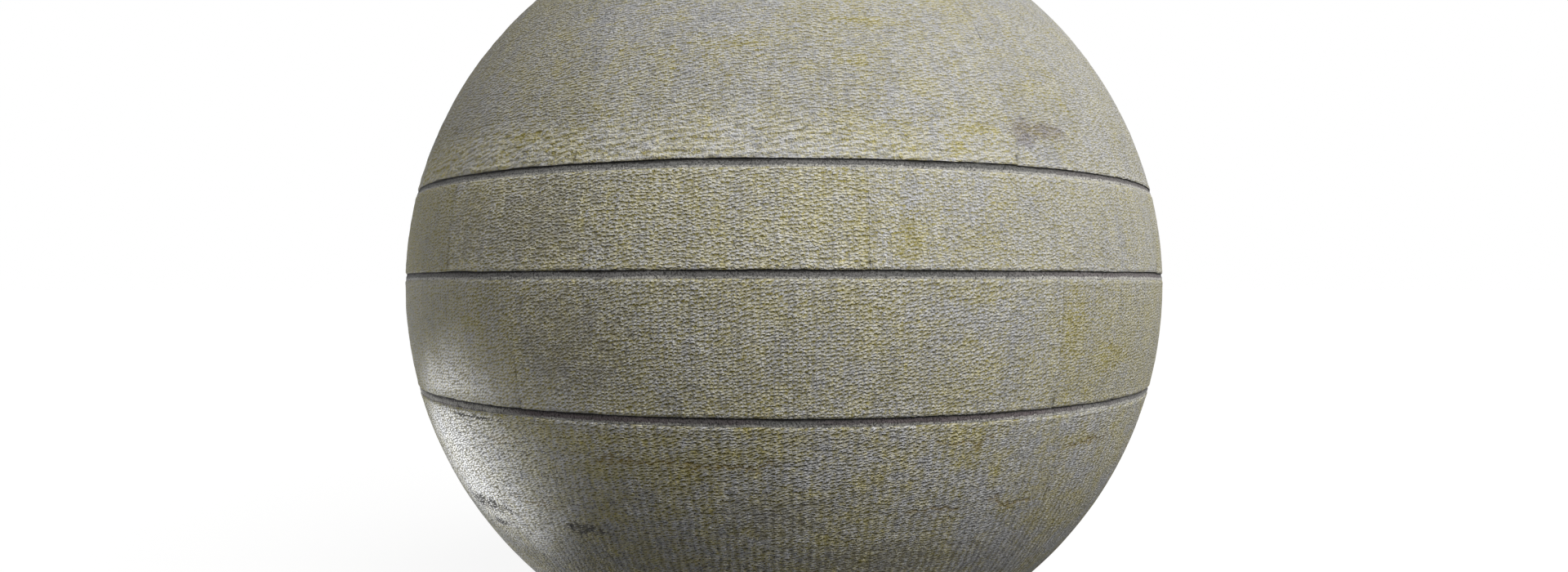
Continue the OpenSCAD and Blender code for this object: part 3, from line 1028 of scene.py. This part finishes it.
def strip_finish(name, purple, dusty):
    """The filling of one seam: how purple it is, and how much dust lies on it at the left."""
    strip = new_finish(name)
    place = strip.place()
    x, y, _ = strip.split(place)
    longitude = strip.math("ARCTAN2", x, -y) * DEGREES
    at_left = strip.ease(longitude, *LEFT_START) * strip.ease(longitude, *LEFT_BACK) * dusty
    lit_right = strip.ease(longitude, *RIGHT_START) * strip.ease(longitude, *RIGHT_BACK)
    smears = strip.cloud(place, SMEAR_SIZE, 3.0, 0.6) - 0.5
    streaks = strip.cloud(strip.scaled(place, GRIT_SQUASH), STREAK_SIZE, 3.0, 0.65)
    grit = strip.cloud(place, GRIT_SIZE, 2.0, 0.65)
    purple_share = strip.ease(strip.cloud(place, PURPLE_SIZE), 0.35, 0.6) * (purple + lit_right * 0.4)
    # dark rises towards the strip's upper edge, where it paints the shadow; towards the right, where the key
    # light reaches in, it is lowered.
    dark = strip.painted("depth") + (streaks - 0.5) * 0.9 + smears * 0.4 - lit_right * 0.12
    filling = strip.ease(dark, 0.80, 0.60) * strip.ease(dark, 0.10, 0.25)
    colour = strip.blend(STRIP, STRIP_PURPLE, purple_share)
    colour = strip.blend(colour, STRIP_DUST, at_left * filling)
    # A band of painted shadow under the edge of the course above, frayed by the grit's streaks.
    colour = strip.blend(colour, STRIP_SHADOW, strip.ease(dark, 0.58, 0.92))
    colour = strip.blend(colour, STRIP_DUST, strip.ease(dark, 0.34, 0.16) * (1 - at_left) * 0.85)
    pits = strip.ease(streaks + (grit - 0.5) * 0.8, 0.50, 0.36)
    # Towards the right, where the key light reaches it, the strip is painted paler as light.
    tone = strip.painted("tone") * (1 + lit_right * 0.25)
    colour = strip.scaled(colour, (1 + smears * 0.5 + (grit - 0.5) * 1.2 - pits * 0.55) * tone)
    normal = strip.bump(streaks + grit * 0.6, STRIP_BUMP)
    return strip.surface(Base_Color=colour, Roughness=0.80 + grit * 0.15, Specular=0.2, Normal=normal)


# %% Dress the seam strips
STRIP_HEAD, STRIP_FOOT = 0.62, 0.30  # how deep the strip's face lies at its upper and lower edge
STRIP_GRIT = 0.10
STRIP_ROWS = 2 * GROUP
STRIP_COLUMN_STEP = 0.7
STRIP_SPREAD = 0.095  # how far the strip is pressed out towards the panels
STRIP_SHELVES = 16  # of the strip's map
WAVE_SIZES = (14, 2.2, 0.9)  # along the seam: of the waves, the grit and the fine grit
FILL_LENGTH, FILL_START = 47.0, 0.62  # the filling was laid in lengths of so many degrees
STRIP_SEED, STRIP_SEEDS = 700, 20


def dress_strip(name, material, seed):
    """Puts a struck strip in the place of a CAD strip, all the way round the ball."""
    heights = points_of(name)[:, 2]
    low, high = heights.min() - STRIP_SPREAD, heights.max() + STRIP_SPREAD
    columns = GROUP * round(2 * math.pi * ball_r / STRIP_COLUMN_STEP / GROUP)
    share = np.linspace(0, 1, STRIP_ROWS + 1)
    latitude = np.arcsin((low + share * (high - low)) / ball_r)
    longitude = np.arange(columns) * 2 * math.pi / columns
    longitude, latitude = np.meshgrid(longitude, latitude)
    share = np.repeat(share[:, None], columns, axis=1)
    turns = [round(2 * math.pi * ball_r / size) for size in WAVE_SIZES]
    round_the_ball = [longitude / (2 * math.pi) * count for count in turns]
    waves = noise(round_the_ball[0], share * 0.7, seed, turns[0])
    grit = noise(round_the_ball[1], share * 1.2, seed + 1, turns[1])
    grit += 0.6 * noise(round_the_ball[2], share * 2.6, seed + 2, turns[2])
    recess = STRIP_FOOT + (STRIP_HEAD - STRIP_FOOT) * steps(share + 0.15 * waves, 0.3, 1.0)
    height = -recess + STRIP_GRIT * grit * steps(share, 0.0, 0.3)
    length = np.floor(longitude / math.radians(FILL_LENGTH) + FILL_START)
    tone = 1 + 0.10 * np.sin(length * 2.4 + seed)
    paint = {"depth": share + 0.10 * waves, "tone": tone}
    folds = {"ring": True, "shelves": STRIP_SHELVES}
    way = directions(longitude, latitude)
    piece = closed_piece(name + "_struck", way, height, cover_in_r, material, **folds, **paint)
    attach(piece, "ball")
    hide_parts(name)
    print(name, "has", height.size, "face points")


SEAMS = {"upper": (0.1, 0.0), "middle": (0.2, 0.0), "lower": (1.0, 0.8)}  # purple, and dust at the left
for start, (seam, tints) in enumerate(SEAMS.items()):
    filling = strip_finish(seam + "_seam_filling", *tints)
    dress_strip(seam + "_seam_strip", filling, STRIP_SEED + STRIP_SEEDS * start)

# %% [markdown]
# The inside is hidden until someone takes the ball apart or pulls out the plug, but it is finished
# too. The carcass is black moulded rubber with a dusty, pitted skin. The winding is nylon thread laid
# over and over in crossing turns. The bladder is thin smooth rubber with talc on it. These CAD nodes
# have the right shape already and only change their material.

# %% Finishes of the inside
DUST_SIZE = 35
RUBBER_BUMP, THREAD_BUMP = 0.15, 0.20  # millimetres
THREAD_PITCH = 1.6
THREAD_TILTS = (-0.55, 0.0, 0.55)  # the winding's three directions
THREAD_SHADE, THREAD_LIGHT = (0.42, 0.39, 0.32, 1), (0.74, 0.71, 0.62, 1)


def rubber_finish(name, colour, dust, dust_share, pit_size, roughness):
    """Rubber with dust in cloudy patches and pits of one size."""
    rubber = new_finish(name)
    place = rubber.place()
    clouds = rubber.cloud(place, DUST_SIZE, 4.0, 0.6)
    pits = rubber.cloud(place, pit_size, 3.0, 0.6)
    mixed = rubber.blend(colour, dust, rubber.ease(clouds, 0.45, 0.75) * dust_share)
    mixed = rubber.scaled(mixed, 0.8 + pits * 0.4)
    dull = roughness + (clouds - 0.5) * 0.2
    normal = rubber.bump(pits, RUBBER_BUMP)
    return rubber.surface(Base_Color=mixed, Roughness=dull, Specular=0.35, Normal=normal)


def winding_finish():
    """Nylon thread in crossing turns, the uppermost thread on top."""
    winding = new_finish("nylon_winding")
    place = winding.place()
    x, y, z = winding.split(place)
    threads = None
    for tilt in THREAD_TILTS:
        lines = winding.math("SINE", (z + x * tilt + y * tilt * 0.6) * (2 * math.pi / THREAD_PITCH))
        threads = lines if threads is None else winding.math("MAXIMUM", threads, lines)
    hue = winding.cloud(place, 20, 3.0)
    colour = winding.blend(THREAD_SHADE, THREAD_LIGHT, winding.ease(threads, 0.1, 1.0))
    colour = winding.scaled(colour, 0.8 + hue * 0.4)
    normal = winding.bump(threads, THREAD_BUMP)
    return winding.surface(Base_Color=colour, Roughness=0.55 + hue * 0.2, Specular=0.4, Normal=normal)


TALC = (0.42, 0.41, 0.39, 1)
inside = {
    "upper_carcass": rubber_finish("carcass_rubber", (0.030, 0.029, 0.028, 1), TALC, 0.35, 1.6, 0.7),
    "nylon_winding": winding_finish(),
    "bladder": rubber_finish("bladder_rubber", (0.014, 0.014, 0.015, 1), TALC, 0.5, 4.0, 0.5),
    "valve_housing": rubber_finish("valve_rubber", (0.048, 0.046, 0.043, 1), TALC, 0.2, 0.9, 0.6),
}
inside["lower_carcass"] = inside["upper_carcass"]
for name, material in inside.items():
    nodes[name].material_slots[0].material = material
print("finished inside:", ", ".join(inside))

# %% [markdown]
# The plug is pressed into the crown's cap, flush with the ball. It is turned rubber, so its bump is a
# set of fine rings about the valve's axis, and it has the grey of a stopper that has been handled.

# %% Finish of the valve plug
RING_PITCH = 1.45
PLUG_BUMP = 0.18  # millimetres
PLUG_DARK, PLUG_WORN = (0.060, 0.058, 0.054, 1), (0.150, 0.143, 0.128, 1)


def plug_finish():
    """Dark rubber with turned rings, worn grey in places."""
    plug = new_finish("plug_rubber")
    place = plug.place()
    x, y, _ = plug.split(place)
    from_axis = plug.math("SQRT", x * x + y * y)
    rings = plug.math("SINE", from_axis * (2 * math.pi / RING_PITCH))
    wear = plug.cloud(place, 7, 4.0, 0.6)
    pits = plug.cloud(place, 0.7, 3.0)
    colour = plug.blend(PLUG_DARK, PLUG_WORN, plug.ease(wear, 0.42, 0.7))
    colour = plug.scaled(colour, 0.85 + pits * 0.3)
    normal = plug.bump(rings * 0.5 + pits * 0.5, PLUG_BUMP)
    return plug.surface(Base_Color=colour, Roughness=0.55 + wear * 0.25, Specular=0.35, Normal=normal)


nodes["valve_plug"].material_slots[0].material = plug_finish()
print("finished the valve plug")

# %% [markdown]
# One soft key light from the upper right of the front shapes the ball. A second light from low at the
# back left only grazes its lower left side, where the rubbed cover shines. Suns light the floor and the
# ball evenly, however far away something stands. The floor neither shades nor colours the ball.


# %% Light
def sun(name, azimuth, elevation, strength, softness, colour):
    """A sun that stands at this azimuth, counted from the front to the right, and this elevation."""
    lamp = bpy.data.lights.new(name, "SUN")
    lamp.energy = strength
    lamp.angle = math.radians(softness)
    lamp.color = colour
    holder = bpy.data.objects.new(name, lamp)
    holder.rotation_euler = (math.radians(90 - elevation), 0, math.radians(azimuth))
    bpy.context.scene.collection.objects.link(holder)
    print(f"{name}: {strength} W per square metre from {azimuth} degrees, {elevation} degrees up")
    return lamp


sun("key", azimuth=40, elevation=44, strength=3.3, softness=50, colour=(1.0, 0.995, 0.98))
kicker = sun("kicker", azimuth=-125, elevation=-26, strength=2.35, softness=38, colour=(0.98, 0.99, 1.0))
kicker.cycles.use_multiple_importance_sampling = False

# %% [markdown]
# The background is white paper. The world and the floor look white to the camera and in reflections,
# but the world gives the ball only a little light, so that the dark side stays dark. The floor adds its
# own white to the light that falls on it, so the ball's shadow still shows on it.

# %% World and floor
WORLD_FILL = 0.02
FLOOR_GLOW = 0.92
FLOOR_COLOUR = (0.12, 0.12, 0.12, 1)
FLOOR_HALF = 30.0  # metres


def seen_directly(finish):
    """1 for rays from the camera, from a mirror or through glass, and 0 for light that spreads."""
    kinds = ("Is Camera Ray", "Is Glossy Ray", "Is Transmission Ray")
    camera_ray, glossy, through = (finish.node("ShaderNodeLightPath", output=kind) for kind in kinds)
    return finish.math("MINIMUM", camera_ray + glossy + through, 1.0)


world = bpy.data.worlds.new("paper")
bpy.context.scene.world = world
paper = Finish(world)
strength = seen_directly(paper) * (1 - WORLD_FILL) + WORLD_FILL
fill = paper.node("ShaderNodeBackground", sockets={"Color": (1, 1, 1, 1), "Strength": strength})
paper.node("ShaderNodeOutputWorld", sockets={"Surface": fill})

sheet = new_finish("paper_floor")
glow = sheet.node("ShaderNodeEmission", sockets={"Strength": seen_directly(sheet) * FLOOR_GLOW})
lit = sheet.node("ShaderNodeBsdfDiffuse", sockets={"Color": FLOOR_COLOUR})
both = sheet.node("ShaderNodeAddShader", sockets={0: glow, 1: lit})
sheet.node("ShaderNodeOutputMaterial", sockets={"Surface": both})

corners = [(-1, -1), (1, -1), (1, 1), (-1, 1)]
floor_points = [(x * FLOOR_HALF, y * FLOOR_HALF, cad_box[0].z) for x, y in corners]
floor_mesh = bpy.data.meshes.new("floor")
floor_mesh.from_pydata(floor_points, [], [(0, 1, 2, 3)])
floor_mesh.materials.append(sheet.owner)
floor = bpy.data.objects.new("floor", floor_mesh)
floor.visible_diffuse = False
floor.visible_shadow = False
bpy.context.scene.collection.objects.link(floor)
print("floor at", round(cad_box[0].z / MM, 1), "mm")

# %% [markdown]
# Last, colours are shown as they are written.

# %% Colours as written
bpy.context.scene.view_settings.view_transform = "Standard"
